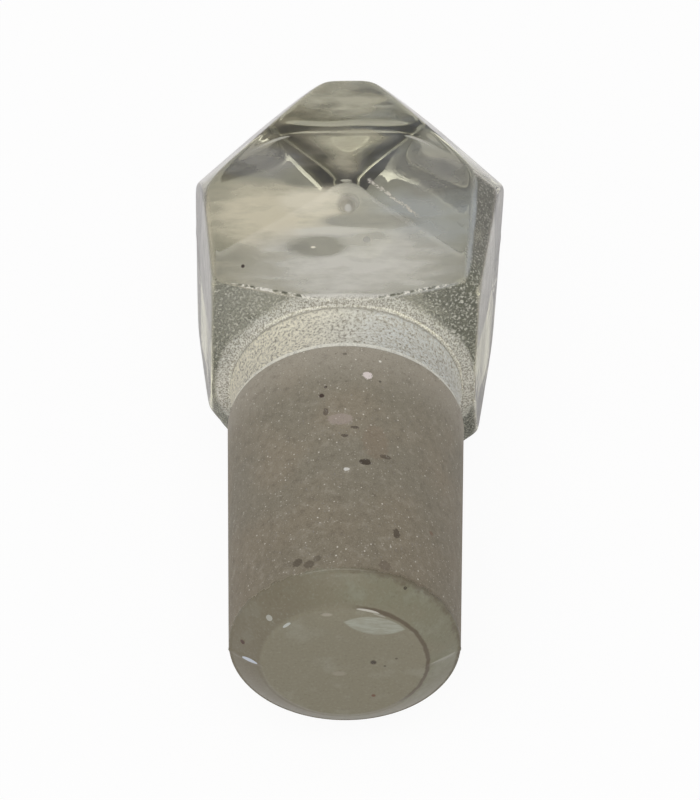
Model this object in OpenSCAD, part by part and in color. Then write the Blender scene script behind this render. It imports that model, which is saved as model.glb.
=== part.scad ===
// Pressed glass bottle stopper: a ground taper plug under a flat head with cut corners.
// The head is a slab with upright faces front and back, and two sides that splay outwards.
// Slanting facets take off its corners above and below, and a narrow flat runs down each edge.
// It is modelled along its own axis and then laid down, as it comes to rest.

/* [Plug] */
// Diameter of the ground plug at its wide end, under the neck
plug_top_d = 22; // [20:0.1:27]
// Diameter of the ground plug at its narrow end
plug_end_d = 20.3; // [15:0.1:24.5]
// Length of the ground taper
plug_length = 26.3; // [15:0.1:32]
// Height of the clear bevel below the ground taper
bevel_height = 1.9; // [0.5:0.1:4]
// Diameter of the flat face at the tip of the plug
tip_d = 14.5; // [8:0.1:17.5]

/* [Neck] */
// Length of the neck, from the plug up to the underside of the head
neck_length = 5.6; // [3:0.1:10]
// How far the neck steps in from the rim of the plug
neck_step = 0.2; // [0.1:0.05:1]
// How much further the neck draws in at its waist
neck_waist = 0.2; // [0:0.05:1]
// How far the collar above the neck stays within the faces of the head
collar_inset = 0.35; // [0.1:0.05:1]
// Height over which the neck widens into the collar
collar_height = 0.8; // [0.4:0.1:1.2]
// How far below the underside of the head the collar begins
collar_drop = 0.5; // [0.2:0.1:1]

/* [Head] */
// Thickness of the head, between its upright front and back faces
head_depth = 23.7; // [20:0.1:30]
// Width of the head across its splayed sides, at its underside
foot_width = 23.9; // [20:0.1:30]
// Height of the head, from its underside to its flat top
head_height = 31.7; // [26:0.1:38]
// How far each side splays out from the axis, in degrees
side_lean = 8.1; // [5:0.1:10]
// Length of the short straight edge at the top of the front and back faces
top_edge = 4.5; // [2:0.1:10]
// Length of the short straight edge at the foot of the front and back faces
foot_edge = 4.5; // [2:0.1:9]
// Steepness of the four upper corner facets, in degrees from level
upper_facet_angle = 63.2; // [54:0.1:66]
// Steepness of the four lower corner facets, in degrees from level
lower_facet_angle = 21; // [14:0.5:26]
// Width of the narrow flat on each upright edge
edge_flat = 1.6; // [0.8:0.05:3]

/* [Mould mark] */
// Diameter of the shallow dimple on the front face
dimple_d = 1.6; // [1:0.1:3]
// Depth of that dimple
dimple_depth = 0.2; // [0.1:0.05:0.5]
// Height of the dimple above the underside of the head
dimple_height = 12.8; // [5:0.1:20]

/* [Hidden] */
$fn = 96;
waist_steps = 10;

// Heights along the stopper's axis, from the wide end of the plug.
head_z = neck_length;
top_z = head_z + head_height;
tip_z = -plug_length - bevel_height;
// Half the width across the splayed sides, at any height.
function side_at(z) = foot_width / 2 + (z - head_z) * tan(side_lean);

// Half the width across the corners, for the two facets and the narrow flat between them.
top_corner = (head_depth + top_edge) / 2 / sqrt(2);
foot_corner = (head_depth + foot_edge) / 2 / sqrt(2);
function flat_at(z) = (side_at(z) + head_depth / 2) / sqrt(2) - edge_flat / 2;
// The narrow flat ends where it meets each facet.
corner_slope = tan(side_lean) / sqrt(2);
flat_top_z = top_z - (flat_at(top_z) - top_corner) / (corner_slope + 1 / tan(upper_facet_angle));
flat_foot_z = head_z + (flat_at(head_z) - foot_corner) / (1 / tan(lower_facet_angle) - corner_slope);

// The stopper lies on the back face of its head. Where the plug is thicker than the head, it
// tips onto the rim of the plug and the far edge of that face.
thickest = max(plug_top_d, head_depth);
rest_lean = atan((head_depth - thickest) / 2 / top_z);
rest_height = thickest / 2 * cos(rest_lean);
far_y = top_z * cos(rest_lean) + head_depth / 2 * abs(sin(rest_lean));
near_y = tip_z * cos(rest_lean) - tip_d / 2 * abs(sin(rest_lean));

// The turned part, from the tip up to the collar, which runs a little way into the head.
module plug_and_neck() {
    rim_r = plug_top_d / 2;
    neck_r = rim_r - neck_step;
    collar_r = min(head_depth, foot_width) / 2 - collar_inset;
    collar_z = head_z - collar_drop;
    rotate_extrude()
        polygon([
            [0, tip_z],
            [tip_d / 2, tip_z],
            [plug_end_d / 2, -plug_length],
            [rim_r, 0],
            for (i = [0:waist_steps])
                let (t = i / waist_steps)
                    [neck_r - neck_waist * sin(180 * t), neck_step + (collar_z - neck_step) * t],
            [collar_r, collar_z + collar_height],
            [collar_r, head_z + collar_height],
            [0, head_z + collar_height]
        ]);
}

// A symmetric outline in X and height, extruded from front to back.
module across_head(half_outline, depth) {
    rotate([90, 0, 0])
        linear_extrude(height = depth, center = true)
            for (side = [0, 1])
                mirror([side, 0])
                    polygon(half_outline);
}

// The slab between front and back, crossed with the outline of the corners on both diagonals.
module cut_corner_slab() {
    side_outline = [
        [0, head_z],
        [side_at(head_z), head_z],
        [side_at(top_z), top_z],
        [0, top_z]
    ];
    corner_outline = [
        [0, head_z],
        [foot_corner, head_z],
        [flat_at(flat_foot_z), flat_foot_z],
        [flat_at(flat_top_z), flat_top_z],
        [top_corner, top_z],
        [0, top_z]
    ];
    diagonal_depth = 4 * side_at(top_z);
    intersection() {
        across_head(side_outline, head_depth);
        rotate(45) across_head(corner_outline, diagonal_depth);
        rotate(135) across_head(corner_outline, diagonal_depth);
    }
}

// A shallow round hollow in the front face, which lies uppermost.
module face_dimple() {
    dimple_r = (pow(dimple_d / 2, 2) + pow(dimple_depth, 2)) / 2 / dimple_depth;
    translate([0, dimple_depth - dimple_r - head_depth / 2, head_z + dimple_height])
        sphere(r = dimple_r);
}

// Lays the upright stopper down, with the tip towards -Y and the lowest points at Z 0.
module laid_at_rest() {
    translate([0, -(far_y + near_y) / 2, rest_height])
        rotate([rest_lean - 90, 0, 0])
            children();
}

module stopper() {
    color("honeydew", 0.6)
        laid_at_rest()
            difference() {
                union() {
                    plug_and_neck();
                    cut_corner_slab();
                }
                face_dimple();
            }
}

stopper();
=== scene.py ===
import math
import bpy
import numpy as np
from mathutils import Matrix, Quaternion, Vector, noise


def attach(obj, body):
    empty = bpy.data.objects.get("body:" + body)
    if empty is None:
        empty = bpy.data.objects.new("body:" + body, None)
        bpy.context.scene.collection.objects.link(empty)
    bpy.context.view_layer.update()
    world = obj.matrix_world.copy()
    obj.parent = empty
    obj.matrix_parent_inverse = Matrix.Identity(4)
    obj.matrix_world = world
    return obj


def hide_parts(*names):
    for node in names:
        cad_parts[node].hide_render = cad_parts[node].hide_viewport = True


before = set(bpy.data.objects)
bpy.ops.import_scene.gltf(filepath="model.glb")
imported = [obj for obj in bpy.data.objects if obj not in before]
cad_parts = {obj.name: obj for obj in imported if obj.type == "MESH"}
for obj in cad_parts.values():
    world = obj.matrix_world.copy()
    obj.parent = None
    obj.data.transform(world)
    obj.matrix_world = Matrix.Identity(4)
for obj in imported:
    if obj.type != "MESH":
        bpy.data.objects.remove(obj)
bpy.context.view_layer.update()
print("frame loaded")

mm = 0.001  # lengths in the dictionaries below are in millimetres


# ---- camera ----

cameraView = {
    "aim": (0.4, -1.66, 13.0),
    "distance": 298.2,
    "elevation": 45.06,
    "azimuth": 0.48,
    "roll": -0.5,
    "lens": 143.37,
    "sensor": 36.0,
}


def makeCamera():
    camera = bpy.data.objects.new("camera", bpy.data.cameras.new("camera"))
    bpy.context.scene.collection.objects.link(camera)
    up = math.radians(cameraView["elevation"])
    around = math.radians(cameraView["azimuth"])
    back = Vector((math.sin(around) * math.cos(up), -math.cos(around) * math.cos(up), math.sin(up)))
    camera.location = (Vector(cameraView["aim"]) + back * cameraView["distance"]) * mm
    roll = Quaternion((0, 0, 1), math.radians(cameraView["roll"]))
    camera.rotation_mode = "QUATERNION"
    camera.rotation_quaternion = (-back).to_track_quat("-Z", "Y") @ roll
    camera.data.lens = cameraView["lens"]
    camera.data.sensor_width = cameraView["sensor"]
    camera.data.clip_start = 0.01
    camera.data.clip_end = 20
    bpy.context.scene.camera = camera


makeCamera()
print("camera placed")


# ---- shape of the stopper, along its own axis, with the wide end of the plug at height 0 ----
# X runs across, Z up from the tip to the top of the head, and the front face looks along -Y

plug = {
    "wideRadius": 11.0,
    "narrowRadius": 10.15,
    "length": 26.3,
    "bevelHeight": 1.9,
    "tipRadius": 7.25,
    "bevelSwell": 0.1,
}
neck = {
    "length": 5.6,
    "collarRadius": 11.77,
    # radius and height, from the rim of the plug over two fine ridges and up to the groove under the collar
    "profile": [(10.94, 0.05), (10.80, 0.17), (10.73, 0.32), (10.84, 0.48), (10.83, 0.6), (10.70, 0.75),
                (10.78, 0.92), (10.76, 1.04), (10.66, 1.25), (10.62, 2.2), (10.62, 3.1), (10.70, 3.9),
                (10.84, 4.5), (10.93, 4.85), (10.88, 5.1)],
    "collarFoot": (10.97, 5.3),
    "collarSlope": math.radians(40),
}
head = {
    "depth": 23.7,
    "height": 31.7,
    "halfWidth": 16.07,
    "topTilt": math.radians(5.8),  # the flat top falls away towards the back
    "footEdge": 4.9,
    "footDrop": 0.25,  # the flat faces run down into the collar
    # upper facets, left and right: turn round the axis, slope, and distance from the axis at the top
    "frontRoof": {
        -1: (math.radians(225), math.radians(26.8), 9.93),
        1: (math.radians(315), math.radians(26.8), 10.25),
    },
    "backRoof": {
        -1: (math.radians(147), math.radians(45), 4.4),
        1: (math.radians(33), math.radians(41), 4.7),
    },
    "lowerFacets": {-1: math.radians(21), 1: math.radians(31)},  # front and back
    "leftFootFlat": (math.radians(155), math.radians(13.5), 13.7),  # turn, splay and distance at the foot
    "inset": 0.06,  # room left for fins, seams and waves inside the full size
    "faceSwell": 900.0,  # radius of the slight swell of the flat faces
    # left and right side: distance from the axis, height at which it holds, splay and turn
    "sides": {-1: (15.55, 34.5, math.radians(5.6), math.radians(3)), 1: (16.35, 34.5, math.radians(8.1), 0)},
    # narrow flats on the upright edges, left and right: the same, at the front and at the back
    "frontFlats": {-1: (17.32, 16, math.radians(4.0)), 1: (16.65, 16, math.radians(3.5))},
    "backFlats": {-1: (17.3, 16, math.radians(5.7)), 1: (17.1, 16, math.radians(5.7))},
    "heart": 20.0,  # height of the point that sees the whole surface of the head
}
# how far the edges of the head are rounded over
softness = {
    "edges": 0.14,
    "corners": 0.6,
    "frontApex": 1.9,
    "backApex": 0.7,
    "topFront": 0.12,
    "topBack": 1.0,
    "foot": 0.12,
    "collar": 0.06,
}
skins = {
    "band": 0.4,  # width over which the rough skin of the mould gives way to a polished face
    "blend": 0.1,
}
dimple = {
    "place": (0.2, -11.85, 18.4),  # on the front face
    "flatten": 0.72,  # it is a little longer up the face than across
    "ring": 0.66,
    "ringWidth": 0.3,
    "depth": 0.22,
    "middle": 0.08,
    "middleWidth": 0.25,
    "ripple": 0.035,
    "rippleReach": 1.9,
    "rippleWidth": 0.22,
}
seams = {
    "bevelAngles": (2, 178),  # degrees round the axis, from +X
    "bevelHeight": 0.09,
    "bevelWidth": 0.22,
    "sidePlace": 0.45,
    "topPlace": -1.2,  # the seam across the flat top bends towards the front
    "topHeight": 0.075,
    "topWidth": 0.7,
    "topWander": 0.9,
    "wanderSize": 6.0,
    "sideHeight": 0.04,
    "sideWidth": 0.3,
}
unevenness = {
    "faceDepth": 0.03,
    "faceSize": 9.0,
    "topDepth": 0.03,
    "topSize": 3.5,
    "mouldDepth": 0.05,
    "mouldSize": 1.5,
    "finHeight": 0.1,  # the ragged fins left along the edges of the front and back face
    "finWidth": 0.2,
    "backFinWidth": 0.34,
    "finStart": 2.7,  # how far from the middle they begin at the foot
    "finRagged": 0.7,
}
meshDetail = {
    "around": 344,
    "headRings": 208,
    "tipRings": 10,
    "bevelRings": 13,
    "wallRings": 14,
    "neckStep": 0.22,
    "tries": 34,
    "nearest": 8.0,  # the surface of the head lies between these distances from its heart
    "farthest": 40.0,
    "fineAround": 7201,
    "fineUp": 620,
    "edgeCrowding": 3.0,
}

headFoot = neck["length"]
headTop = headFoot + head["height"]
tipZ = -plug["length"] - plug["bevelHeight"]
halfDepth = head["depth"] / 2


def softMax(values, rounding):
    # the greatest of the values, with the change from one to the next rounded over
    stack = np.stack(np.broadcast_arrays(*values))
    top = stack.max(axis=0)
    return top + rounding * np.log(np.exp((stack - top) / rounding).sum(axis=0))


def heightOver(points, angle, slope, reach, z):
    # height over a plane that faces out at angle round the axis and up by slope,
    # and is reach from the axis at height z
    out = points[..., 0] * math.cos(angle) + points[..., 1] * math.sin(angle)
    return (out - reach) * math.cos(slope) + (points[..., 2] - z) * math.sin(slope)


def headPlanes(points):
    # the flat faces, the splayed sides, four facets above and below, and four narrow upright flats
    lowerReach = (head["depth"] + head["footEdge"]) / 2 / math.sqrt(2)
    fromMiddle = points[..., 2] - headFoot - head["height"] / 2
    swell = (points[..., 0] ** 2 + fromMiddle ** 2) / (2 * head["faceSwell"])
    planes = {"faces": [], "sides": [], "uppers": [], "lowers": [], "flats": []}
    for hand in (-1, 1):
        outward = 0 if hand > 0 else math.pi
        reach, z, splay, turn = head["sides"][hand]
        planes["sides"].append(heightOver(points, outward + turn, -splay, reach, z))
    for face in (-1, 1):
        reach = halfDepth - head["inset"]
        planes["faces"].append(heightOver(points, face * math.pi / 2, 0, reach, 0) + swell)
        flats = head["frontFlats"] if face < 0 else head["backFlats"]
        roof = head["frontRoof"] if face < 0 else head["backRoof"]
        lowerSlope = head["lowerFacets"][face] - math.pi / 2
        for hand in (-1, 1):
            corner = math.atan2(face, hand)
            reach, z, splay = flats[hand]
            planes["flats"].append(heightOver(points, corner, -splay, reach, z))
            turn, slope, reach = roof[hand]
            planes["uppers"].append(heightOver(points, turn, slope, reach, headTop))
            planes["lowers"].append(heightOver(points, corner, lowerSlope, lowerReach, headFoot))
    turn, splay, reach = head["leftFootFlat"]
    planes["flats"].append(heightOver(points, turn, -splay, reach, headFoot))
    return planes


def overSurface(points):
    # below 0 inside the head and collar, and above 0 outside
    planes = headPlanes(points)
    uppers = planes["uppers"]
    roofs = [softMax(uppers[:2], softness["frontApex"]), softMax(uppers[2:], softness["backApex"])]
    cuts = softMax(roofs + planes["flats"] + planes["lowers"], softness["corners"])
    body = softMax(planes["faces"] + planes["sides"] + [cuts], softness["edges"])
    fromFront = np.clip(points[..., 1] / head["depth"] + 0.5, 0, 1)
    tilt = head["topTilt"]
    top = (points[..., 2] - headTop + head["inset"]) * math.cos(tilt)
    top = top + fromFront * head["depth"] * math.sin(tilt)
    topSoftness = softness["topFront"] + (softness["topBack"] - softness["topFront"]) * fromFront
    body = softMax([body, top], topSoftness)
    block = softMax([body, headFoot - head["footDrop"] - points[..., 2]], softness["foot"])
    radius = np.hypot(points[..., 0], points[..., 1])
    footRadius, footZ = neck["collarFoot"]
    slope = neck["collarSlope"]
    under = (radius - footRadius) * math.sin(slope) - (points[..., 2] - footZ) * math.cos(slope)
    inHead = points[..., 2] - head["heart"] - 2
    collar = softMax([under, radius - neck["collarRadius"], inHead], softness["edges"])
    return -softMax([-block, -collar], softness["collar"])


def mouldedShare(points):
    # 1 on the faces that keep the rough skin of the mould, 0 on the polished ones
    planes = headPlanes(points)
    polished = planes["faces"] + planes["sides"] + planes["uppers"] + [points[..., 2] - headTop]
    rough = softMax(planes["lowers"] + planes["flats"], skins["blend"])
    smooth = softMax(polished, skins["blend"])
    share = np.clip((rough - smooth) / skins["band"] + 0.5, 0, 1)
    return np.where(points[..., 2] < headFoot - 0.1, 1, share)


def sideShare(points):
    # 1 on the left and right side of the head, and on the edge of the faces beside them
    sides = headPlanes(points)["sides"]
    share = np.clip(1 + np.maximum(*sides) / skins["band"], 0, 1)
    return np.where(points[..., 2] > headFoot, share, 0)


def solveRays(azimuths, elevations):
    # where each ray from the heart of the head comes out of the glass
    rays = np.stack([np.cos(elevations) * np.cos(azimuths), np.cos(elevations) * np.sin(azimuths),
                     np.sin(elevations) + 0 * azimuths], axis=-1)
    start = np.array([0, 0, head["heart"]])
    near = np.full(rays.shape[:-1], meshDetail["nearest"])
    far = np.full(rays.shape[:-1], meshDetail["farthest"])
    for attempt in range(meshDetail["tries"]):
        half = (near + far) / 2
        outside = overSurface(start + rays * half[..., None]) > 0
        far = np.where(outside, half, far)
        near = np.where(outside, near, half)
    return start + rays * near[..., None]


def spreadAzimuths():
    # columns gather at the upright edges, and at the dimple on the front face
    fine = np.linspace(0, 2 * math.pi, meshDetail["fineAround"])
    fromCorner = np.abs(np.degrees(fine) % 90 - 45)
    fromDimple = np.abs(np.degrees(fine) - 270)
    density = 1 + 2.0 * np.exp(-((fromCorner / 4) ** 2)) + 2.4 * np.exp(-((fromDimple / 5) ** 2))
    total = np.concatenate([[0], np.cumsum((density[1:] + density[:-1]) / 2)])
    count = meshDetail["around"]
    return np.interp(np.arange(count) / count * total[-1], total, fine)


def smoothAround(values, reach):
    steps = np.arange(-3 * reach, 3 * reach + 1)
    weights = np.exp(-((steps / reach) ** 2) / 2)
    weights /= weights.sum()
    return sum(weight * np.roll(values, step, axis=0) for weight, step in zip(weights, steps))


def headRings(azimuths):
    # rings gather where the surface bends, so that the edges stay crisp
    footRadius, footZ = neck["collarFoot"]
    lowest = math.atan2(footZ - head["heart"], footRadius)
    fine = np.linspace(lowest, math.radians(89.0), meshDetail["fineUp"])
    columns = azimuths[:, None]
    points = solveRays(columns, fine[None, :])
    steps = np.diff(points, axis=1)
    lengths = np.linalg.norm(steps, axis=2)
    directions = steps / lengths[..., None]
    bends = np.pad(np.linalg.norm(np.diff(directions, axis=1), axis=2), ((0, 0), (0, 1)))
    toDimple = np.linalg.norm(points[:, 1:] - dimple["place"], axis=2)
    density = lengths * (1 + 2.5 * np.exp(-((toDimple / 1.6) ** 2)))
    density += meshDetail["edgeCrowding"] * np.minimum(bends, 0.5)
    total = np.pad(np.cumsum(density, axis=1), ((0, 0), (1, 0)))
    share = smoothAround(total / total[:, -1:], 2)
    wanted = np.linspace(0, 1, meshDetail["headRings"])
    elevations = np.stack([np.interp(wanted, row, fine) for row in share])
    return solveRays(columns, elevations)


def plugProfile():
    # radius and height, from the middle of the tip up to the collar
    tip, narrow, wide = plug["tipRadius"], plug["narrowRadius"], plug["wideRadius"]
    rim = -plug["length"]
    profile = [(r, tipZ) for r in np.linspace(0.4, tip - 0.3, meshDetail["tipRings"])]
    profile += [(tip - 0.14, tipZ + 0.01), (tip - 0.02, tipZ + 0.05), (tip + 0.1, tipZ + 0.12)]
    for t in np.linspace(0.1, 0.93, meshDetail["bevelRings"]):
        swell = plug["bevelSwell"] * math.sin(math.pi * t)
        profile.append((tip + (narrow - tip) * t + swell * 0.6, tipZ + (rim - tipZ) * t - swell * 0.8))
    profile += [(narrow - 0.11, rim - 0.16), (narrow - 0.03, rim - 0.05), (narrow + 0.005, rim + 0.1)]
    wall = np.linspace(0.02, 0.99, meshDetail["wallRings"])
    profile += [(narrow + (wide - narrow) * t, rim * (1 - t)) for t in wall]
    profile += [(wide, -0.1), (wide - 0.01, -0.02)]
    for (r0, z0), (r1, z1) in zip(neck["profile"], neck["profile"][1:]):
        rungs = max(1, round((z1 - z0) / meshDetail["neckStep"]))
        profile += [(r0 + (r1 - r0) * k / rungs, z0 + (z1 - z0) * k / rungs) for k in range(rungs)]
    profile.append(neck["profile"][-1])
    return profile


def stitch(rings, bottom, top):
    # one closed skin over rings of points, with a middle point at each end
    around = len(rings[0])
    points = np.concatenate([[bottom]] + rings + [[top]])
    last = len(points) - 1
    faces = []
    for k in range(around):
        after = (k + 1) % around
        faces.append((0, 1 + after, 1 + k))
        faces.append((last, last - around + k, last - around + after))
    for ring in range(len(rings) - 1):
        low = 1 + ring * around
        high = low + around
        for k in range(around):
            after = (k + 1) % around
            faces.append((low + k, low + after, high + after, high + k))
    return points, faces


def bell(away, width):
    return np.exp(-((away / width) ** 2))


def noiseAt(points, size, shift=0.0):
    return np.array([noise.noise(Vector(point) / size + Vector((shift, 0, 0))) for point in points])


def seamRise(points):
    # low seams where the halves of the mould met: across the bevel, up the sides and over the top
    x, y, z = points.T
    radius = np.hypot(x, y)
    rise = np.zeros(len(points))
    onBevel = (z < -plug["length"]) & (radius > plug["tipRadius"] * 0.98)
    for angle in seams["bevelAngles"]:
        turn = np.arctan2(y, x) - math.radians(angle)
        line = bell(radius * np.sin(turn), seams["bevelWidth"]) * (np.cos(turn) > 0)
        rise += seams["bevelHeight"] * line * onBevel
    onSide = (z > headFoot + 1) & (z < headTop - 0.5)
    rise += seams["sideHeight"] * bell(y - seams["sidePlace"], seams["sideWidth"]) * onSide
    onTop = np.clip((z - headTop + 1.5) / 0.5, 0, 1) * (np.abs(x) < 11)
    wander = seams["topWander"] * noiseAt(points, seams["wanderSize"])
    return rise + seams["topHeight"] * bell(y - seams["topPlace"] - wander, seams["topWidth"]) * onTop


def dimpleRise(points):
    away = np.linalg.norm((points - dimple["place"]) * (1, 1, dimple["flatten"]), axis=1)
    ring = -dimple["depth"] * bell(away - dimple["ring"], dimple["ringWidth"])
    middle = dimple["middle"] * bell(away, dimple["middleWidth"])
    below = np.clip(dimple["place"][2] - points[:, 2], 0, 1)
    ripple = dimple["ripple"] * bell(away - dimple["rippleReach"], dimple["rippleWidth"])
    return ring + middle - ripple * below


def finShare(points):
    # where fins are left: along the lower edges of the front face, and along the upper edges of the back face
    planes = headPlanes(points)
    front, back = planes["faces"]
    lower = np.maximum(*planes["lowers"][:2])
    upper = np.maximum(*planes["uppers"][2:])
    sideways = np.abs(points[:, 0])
    low = bell(np.hypot(front, lower), unevenness["finWidth"]) * (sideways > unevenness["finStart"])
    high = bell(np.hypot(back, upper), unevenness["backFinWidth"]) * np.clip((8 - sideways) / 2, 0, 1)
    return np.where(points[:, 2] > headFoot - 0.2, low + high * np.clip(sideways - 1, 0, 1), 0)


def finRise(points, fins):
    ragged = np.clip(0.55 + 1.4 * noiseAt(points, unevenness["finRagged"], 5.0), 0, 1)
    return unevenness["finHeight"] * ragged * fins


def roughen(points, normals, moulded, fins):
    # the small unevenness of pressed glass: slow waves on the polished faces, lumps on the moulded skin
    onHead = points[:, 2] > headFoot
    aboveRim = points[:, 2] > 0
    rise = seamRise(points) + np.where(onHead, dimpleRise(points), 0) + finRise(points, fins)
    waves = unevenness["faceDepth"] * noiseAt(points, unevenness["faceSize"])
    ripples = unevenness["topDepth"] * noiseAt(points, unevenness["topSize"]) * (points[:, 2] > headTop - 0.7)
    lumps = unevenness["mouldDepth"] * noiseAt(points, unevenness["mouldSize"])
    rise += np.where(aboveRim, (waves + ripples) * (1 - moulded) + lumps * moulded, 0)
    return points + normals * rise[:, None]


def makeStopper():
    azimuths = spreadAzimuths()
    rings = [np.stack([r * np.cos(azimuths), r * np.sin(azimuths), 0 * azimuths + z], axis=1)
             for r, z in plugProfile()]
    top = headRings(azimuths)
    rings += [top[:, k] for k in range(top.shape[1])]
    points, faces = stitch(rings, (0, 0, tipZ), (0, 0, rings[-1][:, 2].mean()))
    moulded = np.where(points[:, 2] > 0.1, mouldedShare(points), 0)
    mesh = bpy.data.meshes.new("stopper_glass")
    mesh.from_pydata(points.tolist(), [], faces)
    mesh.update()
    normals = np.array([v.normal for v in mesh.vertices])
    fins = finShare(points)
    sides = sideShare(points)
    points = roughen(points, normals, moulded, fins)

    # kept within the full size, and laid down on the back face of the head
    halfWidth = head["halfWidth"]
    points = np.clip(points, (-halfWidth, -halfDepth, tipZ), (halfWidth, halfDepth, headTop))
    turned = -math.pi / 2
    laying = Matrix.Rotation(turned, 3, "X")
    laid = points @ np.array(laying).T
    seat = Vector((0, -(headTop + tipZ) / 2, halfDepth))
    mesh.vertices.foreach_set("co", ((laid + np.array(seat)) * mm).ravel())
    mesh.attributes.new("moulded", "FLOAT", "POINT").data.foreach_set("value", moulded)
    mesh.attributes.new("fins", "FLOAT", "POINT").data.foreach_set("value", fins)
    mesh.attributes.new("sides", "FLOAT", "POINT").data.foreach_set("value", sides)
    mesh.shade_smooth()
    mesh.update()
    stopper = bpy.data.objects.new("stopper_glass", mesh)
    bpy.context.scene.collection.objects.link(stopper)
    print("stopper:", len(points), "points,", sum(len(f) - 2 for f in faces), "triangles")
    return stopper, seat * mm, turned


stopper, seat, turned = makeStopper()


# ---- shader tools ----

class Sock:
    # wraps a socket, so that a sum of sockets and numbers adds its Math nodes
    def __init__(self, maker, socket):
        self.maker = maker
        self.socket = socket

    def math(self, operation, *others):
        return self.maker.node("ShaderNodeMath", {"operation": operation}, [self, *others])

    def __add__(self, other):
        return self.math("ADD", other)

    def __sub__(self, other):
        return self.math("SUBTRACT", other)

    def __mul__(self, other):
        return self.math("MULTIPLY", other)

    def __pow__(self, other):
        return self.math("POWER", other)

    def __rsub__(self, other):
        return self.maker.node("ShaderNodeMath", {"operation": "SUBTRACT"}, [other, self])

    __radd__ = __add__
    __rmul__ = __mul__


class Maker:
    # makes nodes in one material
    def __init__(self, name):
        self.material = bpy.data.materials.new(name)
        self.material.use_nodes = True
        self.tree = self.material.node_tree
        self.tree.nodes.clear()

    def node(self, kind, settings=None, values=(), output=0):
        made = self.tree.nodes.new(kind)
        for name, value in (settings or {}).items():
            setattr(made, name, value)
        for name, value in values.items() if isinstance(values, dict) else enumerate(values):
            if isinstance(value, Sock):
                self.tree.links.new(value.socket, made.inputs[name])
            else:
                made.inputs[name].default_value = value
        return Sock(self, made.outputs[output])

    def mixed(self, factor, first, second):
        return self.node("ShaderNodeMix", {"data_type": "RGBA"}, {0: factor, 6: first, 7: second}, 2)

    def between(self, value, low, high):
        # 0 below low, 1 above high, and smooth in between
        settings = {"interpolation_type": "SMOOTHSTEP"}
        if low > high:
            return 1 - self.between(value, high, low)
        return self.node("ShaderNodeMapRange", settings, {"Value": value, "From Min": low, "From Max": high})

    def grain(self, place, name):
        scale, detail, roughness = grains[name]
        values = {"Vector": place, "Scale": scale, "Detail": detail, "Roughness": roughness}
        return self.node("ShaderNodeTexNoise", None, values)

    def attribute(self, name):
        return self.node("ShaderNodeAttribute", {"attribute_name": name}, (), "Fac")

    def finish(self, surface, volume=None):
        links = {"Surface": surface}
        if volume:
            links["Volume"] = volume
        made = self.tree.nodes.new("ShaderNodeOutputMaterial")
        for name, value in links.items():
            self.tree.links.new(value.socket, made.inputs[name])
        return self.material


def tone(red, green, blue):
    # a colour given from 0 to 255, as the shader takes it
    levels = [c / 255 for c in (red, green, blue)]
    return tuple(c / 12.92 if c <= 0.04045 else ((c + 0.055) / 1.055) ** 2.4 for c in levels) + (1,)


# ---- glass ----

glassLook = {
    "ior": 1.5,
    "clear": (0.98, 0.98, 0.97, 1),
    "depthTint": (0.84, 0.83, 0.72, 1),
    "depthDensity": 50,
    "ground": tone(136, 126, 108),
    "groundCool": tone(129, 122, 106),
    "groundPale": tone(166, 158, 144),
    "groundDeep": tone(122, 112, 93),
    "sparkle": tone(214, 208, 196),
    "pit": tone(88, 78, 64),
    "film": tone(139, 133, 111),
    "filmGreen": tone(134, 131, 108),
    "filmPale": tone(174, 176, 161),
    "filmBrown": tone(94, 80, 62),
    "neckSkin": tone(216, 211, 199),
    # painted highlights and painted shade in the neck's grains, and painted warm and cool light on its two
    # sides
    "neckHighlight": tone(255, 253, 243),
    "neckShade": tone(150, 145, 132),
    "neckWarmLight": tone(255, 246, 218),
    "neckCoolLight": tone(226, 231, 232),
    # painted highlight and painted shade on the fins
    "finHighlight": tone(236, 232, 222),
    "finShade": tone(92, 92, 78),
    # the facets' skin, painted darker as painted shade for the dark seen through it, with painted glints and
    # deeper painted shade in its grains
    "facetShadedSkin": tone(90, 92, 78),
    "facetGlint": tone(222, 220, 208),
    "facetDeepShade": tone(70, 72, 60),
    # painted warm and cool light on the front face
    "warmFaceLight": tone(206, 196, 168),
    "coolFaceLight": tone(172, 177, 182),
    # painted shade on the sides of the head and on the upright flats
    "sideShade": tone(122, 118, 116),
}

# painted light and shade on the front face, standing in for the tones seen through the glass: place across
# and up, size, squeeze across and up, colour and strength
faceLightAndShade = {
    "warm light left": ((-6.5, 17.0), 8.4, (0.8, 1.2), tone(240, 229, 202), 0.52),
    "bright by dimple": ((-3.0, 19.0), 3.8, (0.9, 1.2), tone(250, 241, 218), 0.58),
    "cool light right": ((8.0, 17.0), 7.5, (0.85, 1.0), tone(178, 184, 190), 0.4),
    "bright foot": ((0.5, 9.8), 10.5, (0.8, 1.4), tone(240, 237, 232), 0.45),
    "near the top": ((0.1, 33.8), 5.6, (0.85, 1.7), tone(190, 186, 166), 0.8),
    "high inside the V": ((0.4, 28.0), 4.6, (0.8, 1.9), tone(178, 173, 152), 0.75),
    "low inside the V": ((0.15, 25.0), 3.0, (1.3, 0.8), tone(172, 166, 146), 0.75),
    "shade left": ((-8.0, 24.6), 6.0, (0.95, 1.5), tone(146, 144, 140), 0.62),
    "shade in left": ((-3.4, 22.4), 3.2, (0.8, 1.6), tone(116, 114, 112), 0.15),
    "shade right": ((8.2, 23.0), 6.8, (0.95, 1.3), tone(138, 137, 133), 0.62),
    "shade in right": ((3.2, 21.8), 3.2, (0.8, 1.5), tone(112, 111, 109), 0.25),
    "shade under dimple": ((2.2, 16.1), 3.6, (0.6, 2.4), tone(150, 149, 147), 0.4),
    "shade lower left": ((-2.6, 12.6), 3.4, (0.85, 1.7), tone(136, 134, 129), 0.4),
    "bright streak": ((-0.3, 14.8), 5.0, (0.9, 7), tone(240, 237, 228), 0.45),
}
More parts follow.
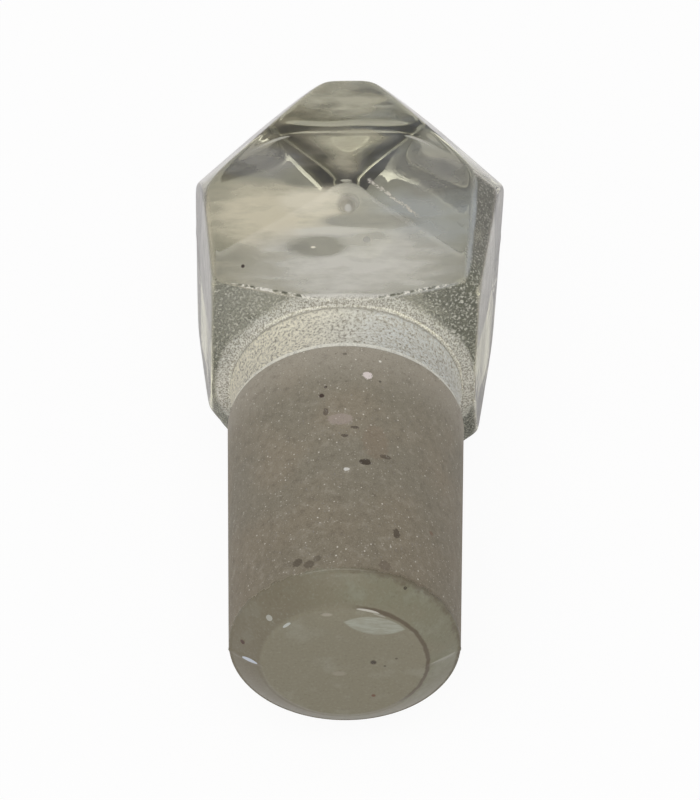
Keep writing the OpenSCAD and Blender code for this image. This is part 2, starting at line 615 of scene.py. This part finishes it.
# small marks on the front face, given in the same way: a painted shade ring round the dimple and a painted
# highlight in its middle, a painted shade and a painted highlight below it, and a dark speck
faceMarks = {
    "dimple shade ring": ((0.2, 18.6), 1.2, (1, 0.72), tone(84, 80, 74), 0.6),
    "dimple highlight": ((0.25, 18.0), 0.42, (1, 0.75), tone(226, 224, 218), 0.6),
    "shade lower right": ((2.0, 13.5), 0.5, (1.1, 0.8), tone(112, 110, 104), 0.6),
    "small highlight": ((-3.0, 12.5), 0.26, (0.8, 1.2), tone(236, 228, 210), 0.9),
    "speck": ((-9.5, 10.0), 0.27, (1.15, 0.8), tone(38, 18, 12), 1.0),
}
# fine pale jagged lines painted on the front face: from, to, half width, colour and strength
faceLines = {
    "pale jagged line": ((1.9, 22.3), (7.3, 16.4), 0.27, tone(226, 219, 208), 0.6),
}
# dots on the neck: place, size, squeeze along X, Y and Z, colour and strength
neckMarks = {
    "neck dot": ((5.1, -9.4, 1.9), 0.14, (1, 1, 1), tone(70, 66, 60), 0.8),
    "second neck dot": ((5.9, -9.0, 1.9), 0.12, (1, 1, 1), tone(70, 66, 60), 0.8),
}
# marks on the ground plug: degrees round from the front, height, then as on the neck
plugMarks = {
    "white chip": (11, -3.5, 0.44, (1, 0.6, 1), tone(222, 210, 206), 1.0),
    "dark pit": (-11, -6, 0.24, (1, 0.5, 0.9), tone(54, 34, 24), 1.0),
    "pit above": (-9, -5, 0.15, (1, 0.5, 1), tone(62, 46, 36), 1.0),
    "pit below": (-9, -8, 0.3, (1.2, 0.5, 0.6), tone(84, 72, 60), 0.8),
    "pale patch": (-2, -9, 1.0, (0.85, 0.5, 1.4), tone(172, 156, 150), 0.5),
    "dark fleck": (0, -11, 0.24, (0.7, 0.5, 1.2), tone(74, 62, 50), 0.8),
    "fleck beside": (5, -10, 0.28, (0.7, 0.5, 1.4), tone(72, 60, 48), 0.8),
    "rust cloud": (15, -11.5, 1.5, (1.2, 0.5, 0.7), tone(132, 108, 86), 0.25),
    "dark scratch": (10, -14, 0.42, (0.8, 0.5, 1.1), tone(60, 48, 36), 0.95),
    "scratch beside": (20, -13, 0.45, (0.8, 0.5, 1.8), tone(78, 66, 52), 0.75),
    "bright dot": (1, -15, 0.24, (0.8, 0.5, 1.2), tone(214, 212, 206), 0.9),
    "blob right": (26, -21.5, 0.44, (1.3, 0.6, 0.8), tone(72, 60, 46), 0.8),
    "rust dot": (47, -19.5, 0.22, (1, 0.6, 1), tone(112, 80, 60), 0.6),
    "blob left": (-23, -25, 0.42, (0.9, 0.5, 0.9), tone(76, 66, 52), 0.75),
    "blob by it": (-17, -25.5, 0.4, (0.8, 0.5, 0.9), tone(84, 74, 60), 0.7),
    "third blob": (-13, -25, 0.3, (0.8, 0.5, 0.9), tone(88, 78, 64), 0.6),
    "brown patch": (20, -25.5, 0.5, (0.9, 0.5, 0.9), tone(92, 78, 64), 0.5),
    "top dot": (0, -1, 0.16, (0.8, 0.5, 1), tone(84, 76, 64), 0.7),
    "top glint": (17, -1.5, 0.14, (1, 0.5, 1), tone(226, 222, 212), 0.9),
    "right dot": (17, -4, 0.13, (1, 0.5, 1), tone(70, 60, 50), 0.8),
}
# marks on the end face, as on the neck
tipMarks = {
    "dark dot": ((2.5, 0, -28.2), 0.28, (0.8, 0.8, 0.5), tone(62, 50, 38), 0.9),
    "dot by it": ((4.5, -0.5, -28.2), 0.16, (1, 1, 0.5), tone(72, 60, 48), 0.7),
    "dot past it": ((3.5, 0.5, -28.2), 0.15, (1, 1, 0.5), tone(72, 60, 48), 0.7),
    "rust dot": ((2.5, 4.5, -28.2), 0.24, (1, 1, 0.5), tone(112, 70, 50), 0.85),
    "pale rub": ((-0.5, 1.5, -28.2), 0.7, (0.9, 1.8, 0.5), tone(168, 162, 146), 0.5),
    "scribble": ((-1.5, -6.3, -28.2), 0.55, (0.9, 2.0, 0.5), tone(182, 176, 162), 0.6),
}
# marks round the rim of the end face, among them painted highlights along the rim and the seams: degrees
# round from the front, distance from the axis, size, squeeze along the rim and across it, colour and strength
rimMarks = {
    "rim highlight": (17, 7.1, 1.35, (1, 9), tone(214, 210, 198), 0.9),
    "highlight under it": (26, 6.9, 0.8, (1, 6), tone(186, 184, 172), 0.6),
    "left highlight": (-45, 7, 0.6, (1, 3), tone(208, 212, 206), 0.85),
    "bevel white": (-51, 8.3, 0.34, (1, 1), tone(186, 186, 176), 0.85),
    "bevel rust": (-80, 9, 0.24, (1, 1), tone(78, 44, 32), 0.9),
    "seam glint": (-92, 8.3, 0.85, (3.4, 1), tone(216, 224, 236), 0.95),
    "right seam highlight": (92, 8.6, 1.4, (9, 1), tone(176, 174, 160), 0.7),
    "bevel dot": (33, 9.6, 0.16, (1, 1), tone(64, 56, 44), 0.8),
}
# glittering grains in the ground skin: how many in a millimetre, size, share and strength
groundSparkles = [(1.3, 0.13, 0.35, 0.95), (2.1, 0.17, 0.4, 0.75), (3.4, 0.24, 0.3, 0.5)]
# where the painted reflection on the end face lies: the middles of the two circles that bound it, and their
# radius
tipReflection = {
    "low": (2.1, -2.2, -28.2),
    "high": (3.1, -7.5, -28.2),
    "reach": 3.9,
}
# how much of the clear glass each skin covers, from 0 to 1
skinCover = {
    "ground": 0.93,
    "tip": 0.74,
    "neck": 0.7,
    "facet": 0.5,
    "facetPatches": 0.3,
    "faceLightCover": 0.05,
    "faceLightClouds": 0.2,
    "bead": 0.7,
    "side": 0.15,
    "sideCloud": 0.4,
    "fin": 0.85,
}
# where one finish gives way to the next: the first number has none of it and the second all of it
borders = {
    "tip": (0.2, 0.0),  # from the ragged line round the rim
    "ground": (0.0, 0.2),  # from the same line
    "plugTop": (0.03, -0.03),
    "plugRim": (0.75, 0.5),
    "neckFoot": (0.02, 0.2),
    "neckTop": (5.4, 4.9),
    "beadFoot": (5.0, 5.3),
    "beadTop": (6.4, 6.0),
    "beadReach": (12.5, 12.1),
    "facets": (5.4, 5.8),
    "faceFoot": (5.4, 6.5),
    "frontFace": (-11.2, -11.6),
    "tallFlats": (9, 13),
}
# grains that the finishes are mottled with: how many in a millimetre, detail and roughness
grains = {
    "ragged": (1.1, 4, 0.65),
    "pebbles": (3.8, 3, 0.65),
    "sand": (4.2, 3, 0.65),
    "beadSand": (6.0, 3, 0.65),
    "broad": (0.25, 3, 0.5),
    "cloud": (0.5, 4, 0.55),
    "fins": (2.4, 3, 0.6),
    "plugMist": (0.16, 3, 0.5),
    "plugMottle": (1.3, 3, 0.6),
    "plugGrit": (7.5, 3, 0.7),
    "fleckEdge": (5.5, 3, 0.5),
    "tipFilm": (0.35, 4, 0.6),
    "tipDust": (4.0, 3, 0.6),
    "reflectionStreaks": (2.0, 3, 0.5),
}


def onPlug(angle, z):
    turn = math.radians(angle)
    radius = plug["wideRadius"] + (plug["wideRadius"] - plug["narrowRadius"]) * z / plug["length"]
    return radius * math.sin(turn), -radius * math.cos(turn), z


def spotOf(maker, place, centre, size, stretch=(1, 1, 1), edge=0.5):
    # 1 in the middle of a small mark and 0 past its edge
    away = maker.node("ShaderNodeVectorMath", {"operation": "SUBTRACT"}, [place, centre])
    scaled = maker.node("ShaderNodeVectorMath", {"operation": "MULTIPLY"}, [away, stretch])
    length = maker.node("ShaderNodeVectorMath", {"operation": "LENGTH"}, [scaled], "Value")
    return maker.between(length, size, size * edge)


def lineOf(maker, x, z, start, end, halfWidth, wander):
    # 1 along a fine wandering line and 0 beside it
    run = Vector(end) - Vector(start)
    across, up = run.normalized()
    along = (x - start[0]) * across + (z - start[1]) * up
    away = ((x - start[0]) * up - (z - start[1]) * across + wander).math("ABSOLUTE")
    ends = maker.between(along, 0, 0.5) * maker.between(along, run.length, run.length - 1.5)
    return maker.between(away, halfWidth, halfWidth * 0.4) * ends


def scatter(maker, place, scale, size, share):
    # small dots, one in a share of the cells
    values = {"Vector": place, "Scale": scale}
    near = maker.node("ShaderNodeTexVoronoi", None, values, "Distance")
    pick = maker.node("ShaderNodeTexVoronoi", None, values, "Color")
    drawn = maker.node("ShaderNodeSeparateColor", None, [pick], "Red")
    return maker.between(near, size, size * 0.45) * maker.between(drawn, share, share - 0.02)


def groundColour(maker, place, z):
    look = glassLook
    broad = maker.grain(place, "plugMist")
    mottle = maker.grain(place, "plugMottle")
    fine = maker.grain(place, "plugGrit")
    colour = maker.mixed(maker.between(broad, 0.35, 0.65), look["groundCool"], look["ground"])
    # painted light and shade along the plug: paler by the neck and darker towards the tip
    colour = maker.mixed(maker.between(z, -6, 0) * 0.75, colour, look["groundPale"])
    colour = maker.mixed(maker.between(z, -12, -25) * 0.5, colour, look["groundDeep"])
    colour = maker.mixed(maker.between(mottle, 0.5, 0.75) * 0.4, colour, look["groundPale"])
    colour = maker.mixed(maker.between(mottle, 0.48, 0.25) * 0.4, colour, look["pit"])
    colour = maker.mixed(maker.between(fine, 0.52, 0.75) * 0.55, colour, look["groundPale"])
    colour = maker.mixed(maker.between(fine, 0.48, 0.25) * 0.55, colour, look["pit"])
    for scale, size, share, strength in groundSparkles:
        colour = maker.mixed(scatter(maker, place, scale, size, share) * strength, colour, look["sparkle"])
    colour = maker.mixed(scatter(maker, place, 1.1, 0.12, 0.25) * 0.6, colour, look["pit"])
    ragged = (maker.grain(place, "fleckEdge") - 0.5) * 2.2
    for angle, height, size, stretch, shade, strength in plugMarks.values():
        centre = onPlug(angle, height)
        spot = spotOf(maker, place, centre, size * 1.25, stretch)
        spot = maker.between(spot + ragged, 0.3, 0.7)
        colour = maker.mixed(spot * strength, colour, shade)
    return colour


def tipColour(maker, place, x, y, radius, ragged):
    look = glassLook
    cloudy = maker.grain(place, "tipFilm")
    fine = maker.grain(place, "tipDust")
    onBevel = maker.between(radius + ragged * 0.15, plug["tipRadius"] - 0.05, plug["tipRadius"] + 0.3)
    greener = onBevel * maker.between(cloudy + x * 0.02, 0.4, 0.7)
    colour = maker.mixed(greener, look["film"], look["filmGreen"])
    colour = maker.mixed(maker.between(cloudy, 0.5, 0.7) * 0.25, colour, look["filmPale"])
    colour = maker.mixed(onBevel * maker.between(x, 2, -6) * 0.35, colour, look["filmBrown"])
    colour = maker.mixed(maker.between(fine, 0.5, 0.8) * 0.25, colour, look["filmPale"])
    colour = maker.mixed(maker.between(fine, 0.45, 0.2) * 0.35, colour, look["filmBrown"])
    # painted reflection: a pale lens-shaped patch where two circles overlap
    across, low, high = tipReflection["reach"], tipReflection["low"], tipReflection["high"]
    lowRound = spotOf(maker, place, low, across, (1, 1, 0), 0.95)
    lens = lowRound * spotOf(maker, place, high, across, (1, 1, 0), 0.95)
    drawnOut = maker.node("ShaderNodeMapping", None, {"Vector": place, "Scale": (0.6, 3, 1)})
    streaks = maker.grain(drawnOut, "reflectionStreaks")
    colour = maker.mixed(lens * (0.55 + maker.between(streaks, 0.35, 0.7) * 0.45), colour, look["filmPale"])
    # dirt in the corner between the end face and the bevel, mostly on the right
    rim = maker.between((radius + ragged * 0.3 - plug["tipRadius"]).math("ABSOLUTE"), 0.26, 0.08)
    colour = maker.mixed(rim * maker.between(x - y * 0.3, 2.2, 4.5) * 0.85, colour, look["filmBrown"])
    for centre, size, stretch, shade, strength in tipMarks.values():
        colour = maker.mixed(spotOf(maker, place, centre, size, stretch) * strength, colour, shade)
    along = maker.node("ShaderNodeMath", {"operation": "ARCTAN2"}, [x, 0 - y]) * plug["tipRadius"]
    rimPlace = maker.node("ShaderNodeCombineXYZ", None, [along, radius, 0.0])
    for angle, reach, size, stretch, shade, strength in rimMarks.values():
        centre = (math.radians(angle) * plug["tipRadius"], reach, 0)
        spot = spotOf(maker, rimPlace, centre, size, (*stretch, 0))
        spot = maker.between(spot + ragged * 0.8, 0.25, 0.6)
        colour = maker.mixed(spot * strength, colour, shade)
    return colour


def grainyColour(maker, middle, bright, dark, grain, amount):
    # a colour speckled with brighter and darker grains: painted glints and painted shade in the grains
    colour = maker.mixed(maker.between(grain, 0.5, 0.68) * amount, middle, bright)
    return maker.mixed(maker.between(grain, 0.5, 0.32) * amount, colour, dark)


def placesOf(maker):
    # where a point of the glass is, in millimetres along the stopper's own axes, and the grains there
    seen = maker.node("ShaderNodeTexCoord", None, (), "Object")
    values = {"Vector": seen, "Location": seat, "Rotation": (turned, 0, 0), "Scale": (mm, mm, mm)}
    place = maker.node("ShaderNodeMapping", {"vector_type": "TEXTURE"}, values)
    at = {axis.lower(): maker.node("ShaderNodeSeparateXYZ", None, [place], axis) for axis in "XYZ"}
    at["place"] = place
    at["radius"] = (at["x"] * at["x"] + at["y"] * at["y"]) ** 0.5
    at["ragged"] = maker.grain(place, "ragged") - 0.5
    at["pebbles"] = maker.grain(place, "pebbles")
    at["sand"] = maker.grain(place, "sand")
    at["broad"] = maker.grain(place, "broad")
    stretched = maker.node("ShaderNodeMapping", None, {"Vector": place, "Scale": (0.5, 1, 1.3)})
    at["cloud"] = maker.grain(stretched, "cloud")
    return at


def zonesOf(maker, at):
    # where each finish lies, from 0 to 1
    def between(name, value):
        return maker.between(value, *borders[name])

    z = at["z"]
    moulded = maker.attribute("moulded")
    rimLine = z + at["ragged"] * 1.1 + plug["length"]
    neckZone = between("neckFoot", z) * between("neckTop", z)
    return {
        "moulded": moulded,
        "tip": between("tip", rimLine),
        "ground": between("ground", rimLine) * between("plugTop", z),
        "dirtyRim": maker.between(rimLine.math("ABSOLUTE"), 0.42, 0.05),
        "neck": neckZone,
        "plugRim": neckZone * between("plugRim", z),
        "bead": between("beadTop", z) * between("beadFoot", z) * between("beadReach", at["radius"]),
        "facets": moulded * between("facets", z),
        "tallFlats": between("tallFlats", z),
        "sides": maker.attribute("sides") * (1 - moulded),
        "face": between("frontFace", at["y"]) * between("faceFoot", z),
    }


def plugColour(maker, at, zones):
    tip = tipColour(maker, at["place"], at["x"], at["y"], at["radius"], at["ragged"])
    colour = maker.mixed(zones["tip"], groundColour(maker, at["place"], at["z"]), tip)
    dirt = zones["dirtyRim"] * maker.between(at["x"] + at["ragged"] * 6, -2, 3)
    return maker.mixed(dirt * 0.6, colour, glassLook["filmBrown"])


def mouldedColour(maker, at, zones, colour):
    # the facets and the neck keep the grainy skin of the mould, with painted glints and painted shade in its
    # grains and painted shade on the facets;
    # the neck is painted with warm light on the left and cool light on the right
    look = glassLook
    x, sand, pebbles = at["x"], at["sand"], at["pebbles"]
    # painted glints and painted shade on the facets; the upright flats take some of the painted shade of the
    # sides
    facetGlintsAndShade = grainyColour(maker, look["facetShadedSkin"], look["facetGlint"], look["facetDeepShade"], sand, 0.9)
    facetGlintsAndShade = maker.mixed(zones["tallFlats"] * 0.4, facetGlintsAndShade, look["sideShade"])
    neckGlintsAndShade = grainyColour(maker, look["neckSkin"], look["neckHighlight"], look["neckShade"], pebbles, 1.0)
    colour = maker.mixed(zones["facets"], colour, facetGlintsAndShade)
    colour = maker.mixed(zones["neck"], colour, neckGlintsAndShade)
    # painted warm light on the left of the neck and cool light on the right
    neckSideLight = maker.mixed(maker.between(x + at["broad"] * 4, -4, 8), look["neckWarmLight"], look["neckCoolLight"])
    colour = maker.mixed(zones["neck"] * maker.between(pebbles, 0.4, 0.6) * 0.7, colour, neckSideLight)
    # painted highlight along the ridges at the foot of the neck
    return maker.mixed(zones["plugRim"] * 0.6, colour, look["neckHighlight"])


def polishedColour(maker, at, zones, colour):
    # the front face, the bead round the collar and the sides of the head, with painted light on the front
    # face, painted glints and shade on the bead and painted shade on the sides
    look = glassLook
    # painted warm light on the left of the front face and cool light on the right
    faceLight = maker.mixed(maker.between(at["x"] + at["broad"] * 8, 0, 8), look["warmFaceLight"], look["coolFaceLight"])
    colour = maker.mixed(zones["face"], colour, faceLight)
    # painted glints and painted shade in the bead's grains
    beadSand = maker.between(maker.grain(at["place"], "beadSand"), 0.4, 0.6)
    beadColour = maker.mixed(beadSand, look["neckShade"], look["neckHighlight"])
    colour = maker.mixed(zones["bead"] * 0.75, colour, beadColour)
    # painted shade on the sides
    return maker.mixed(zones["sides"], colour, look["sideShade"])


def coverOf(maker, at, zones):
    cloud = at["cloud"]
    patches = maker.between(at["broad"] + at["x"] * 0.01, 0.4, 0.6)
    cover = zones["ground"] * skinCover["ground"] + zones["tip"] * skinCover["tip"]
    cover += zones["neck"] * skinCover["neck"]
    cover += zones["facets"] * (skinCover["facet"] + patches * skinCover["facetPatches"])
    # the front face is covered thinly, so that its painted light shows, and more where the clouds gather
    cloudyFaceLight = maker.between(cloud, 0.42, 0.72) * skinCover["faceLightClouds"]
    cover += zones["face"] * (skinCover["faceLightCover"] + cloudyFaceLight)
    cover = cover.math("MAXIMUM", zones["bead"] * skinCover["bead"])
    # the sides are covered where their painted shade shows
    return cover + zones["sides"] * (skinCover["side"] + cloud * skinCover["sideCloud"])


def onFrontFace(spots):
    # places and squeezes across and up the front face, made into ones in space
    for (across, up), size, (wide, tall), shade, strength in spots.values():
        yield (across, -halfDepth, up), size, (wide, 0.2, tall), shade, strength


def paintedLightAndMarks(maker, at, zones, colour, cover):
    place = at["place"]
    # painted light and shade over the front face
    for centre, size, squeeze, shade, strength in onFrontFace(faceLightAndShade):
        spot = spotOf(maker, place, centre, size, squeeze, 0.1) * zones["face"]
        spot = (spot * (at["cloud"] * 2.2 - 0.1)).math("MINIMUM", 1)
        colour = maker.mixed((spot * 2).math("MINIMUM", 1), colour, shade)
        cover = maker.node("ShaderNodeMix", None, {0: spot, 2: cover, 3: strength})
    for centre, size, squeeze, shade, strength in [*onFrontFace(faceMarks), *neckMarks.values()]:
        spot = spotOf(maker, place, centre, size, squeeze) * strength
        colour = maker.mixed(spot, colour, shade)
        cover = cover.math("MAXIMUM", spot)
    for start, end, halfWidth, shade, strength in faceLines.values():
        line = lineOf(maker, at["x"], at["z"], start, end, halfWidth, at["ragged"] * 1.3)
        line = line * maker.between(at["sand"], 0.35, 0.55) * zones["face"]
        colour = maker.mixed(line, colour, shade)
        cover = cover.math("MAXIMUM", line * strength)
    return colour, cover


def finsOver(maker, at, colour, cover):
    # chipped fins: painted highlights and painted shade in bits along them, which are painted in front and
    # only rough at the back
    grain = maker.grain(at["place"], "fins")
    finLightAndShade = maker.mixed(maker.between(grain, 0.47, 0.53), glassLook["finShade"], glassLook["finHighlight"])
    onFin = maker.between(maker.attribute("fins"), 0.15, 0.5)
    onFin = onFin * maker.between((grain - 0.5).math("ABSOLUTE"), 0.01, 0.05)
    inFront = onFin * maker.between(at["y"], 1, -1)
    return maker.mixed(onFin, colour, finLightAndShade), cover.math("MAXIMUM", inFront * skinCover["fin"]), onFin


def makeGlass():
    maker = Maker("glass")
    look = glassLook
    at = placesOf(maker)
    zones = zonesOf(maker, at)
    moulded, ground, tip = zones["moulded"], zones["ground"], zones["tip"]
    colour = plugColour(maker, at, zones)
    colour = mouldedColour(maker, at, zones, colour)
    colour = polishedColour(maker, at, zones, colour)
    colour, cover = paintedLightAndMarks(maker, at, zones, colour, coverOf(maker, at, zones))
    colour, cover, onFin = finsOver(maker, at, colour, cover)

    # the skin of the mould stands in low bumps, and the ground skin in finer ones
    skin = at["pebbles"] * 0.2 + at["sand"] * 0.08
    height = skin * (zones["neck"] * 0.8 + zones["facets"]) + at["sand"] * ground * 0.03
    bump = maker.node("ShaderNodeBump", None, {"Height": height, "Strength": 1.0, "Distance": mm})

    roughness = 0.02 + moulded * 0.1 + ground * 0.5 + tip * 0.15 + onFin * 0.45
    values = {"Base Color": look["clear"], "Roughness": roughness, "IOR": look["ior"],
              "Transmission Weight": 1.0, "Normal": bump}
    clear = maker.node("ShaderNodeBsdfPrincipled", None, values)
    values = {"Base Color": colour, "Roughness": 0.65 - tip * 0.35, "IOR": look["ior"], "Normal": bump}
    matte = maker.node("ShaderNodeBsdfPrincipled", None, values)
    surface = maker.node("ShaderNodeMixShader", None, [cover.math("MINIMUM", 1), clear, matte])
    values = {"Color": look["depthTint"], "Density": look["depthDensity"]}
    volume = maker.node("ShaderNodeVolumeAbsorption", None, values)
    return maker.finish(surface, volume)


stopper.data.materials.append(makeGlass())
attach(stopper, "root")
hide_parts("stopper")
print("glass made")


# ---- floor and light ----

# a glow is how much of the floor's own colour gives way to plain white: where it is seen straight,
# and where it is seen in or through the glass
studio = {
    "floorSize": 3.0,
    "floorColour": (0.85, 0.83, 0.83, 1),
    "cameraGlow": 0.94,
    "glassGlow": 0.15,
    "worldLevel": 0.55,
    "lampPlace": (-0.1, -0.45, 0.65),  # in metres
    "lampSize": (0.8, 0.8),
    "lampPower": 3.4,
}


def makeFloor():
    size = studio["floorSize"]
    mesh = bpy.data.meshes.new("floor")
    mesh.from_pydata([(-size, -size, 0), (size, -size, 0), (size, size, 0), (-size, size, 0)], [],
                     [(0, 1, 2, 3)])
    floor = bpy.data.objects.new("floor", mesh)
    bpy.context.scene.collection.objects.link(floor)
    maker = Maker("floor")
    straight = maker.node("ShaderNodeLightPath", None, (), "Is Camera Ray")
    mirrored = maker.node("ShaderNodeLightPath", None, (), "Is Glossy Ray")
    through = maker.node("ShaderNodeLightPath", None, (), "Is Transmission Ray")
    bounced = (mirrored + through).math("MINIMUM", 1) * studio["glassGlow"]
    glow = (straight * studio["cameraGlow"] + bounced).math("MINIMUM", 1)
    plain = maker.node("ShaderNodeBsdfDiffuse", None, {"Color": studio["floorColour"]})
    white = maker.node("ShaderNodeEmission", None, {"Color": (1, 1, 1, 1), "Strength": 1.0})
    mesh.materials.append(maker.finish(maker.node("ShaderNodeMixShader", None, [glow, plain, white])))


def makeWorld():
    world = bpy.data.worlds.new("studio")
    world.use_nodes = True
    level = studio["worldLevel"]
    world.node_tree.nodes["Background"].inputs["Color"].default_value = (level, level, level, 1)
    bpy.context.scene.world = world


def makeLamp():
    # a wide lamp above the stopper, in front of it and a little to the left
    lamp = bpy.data.lights.new("window", "AREA")
    lamp.shape = "RECTANGLE"
    lamp.size, lamp.size_y = studio["lampSize"]
    lamp.energy = studio["lampPower"]
    holder = bpy.data.objects.new("window", lamp)
    bpy.context.scene.collection.objects.link(holder)
    holder.location = studio["lampPlace"]
    holder.rotation_mode = "QUATERNION"
    holder.rotation_quaternion = (-Vector(studio["lampPlace"])).to_track_quat("-Z", "Y")


makeFloor()
makeWorld()
makeLamp()
print("stage set")

bpy.context.scene.view_settings.view_transform = "Standard"
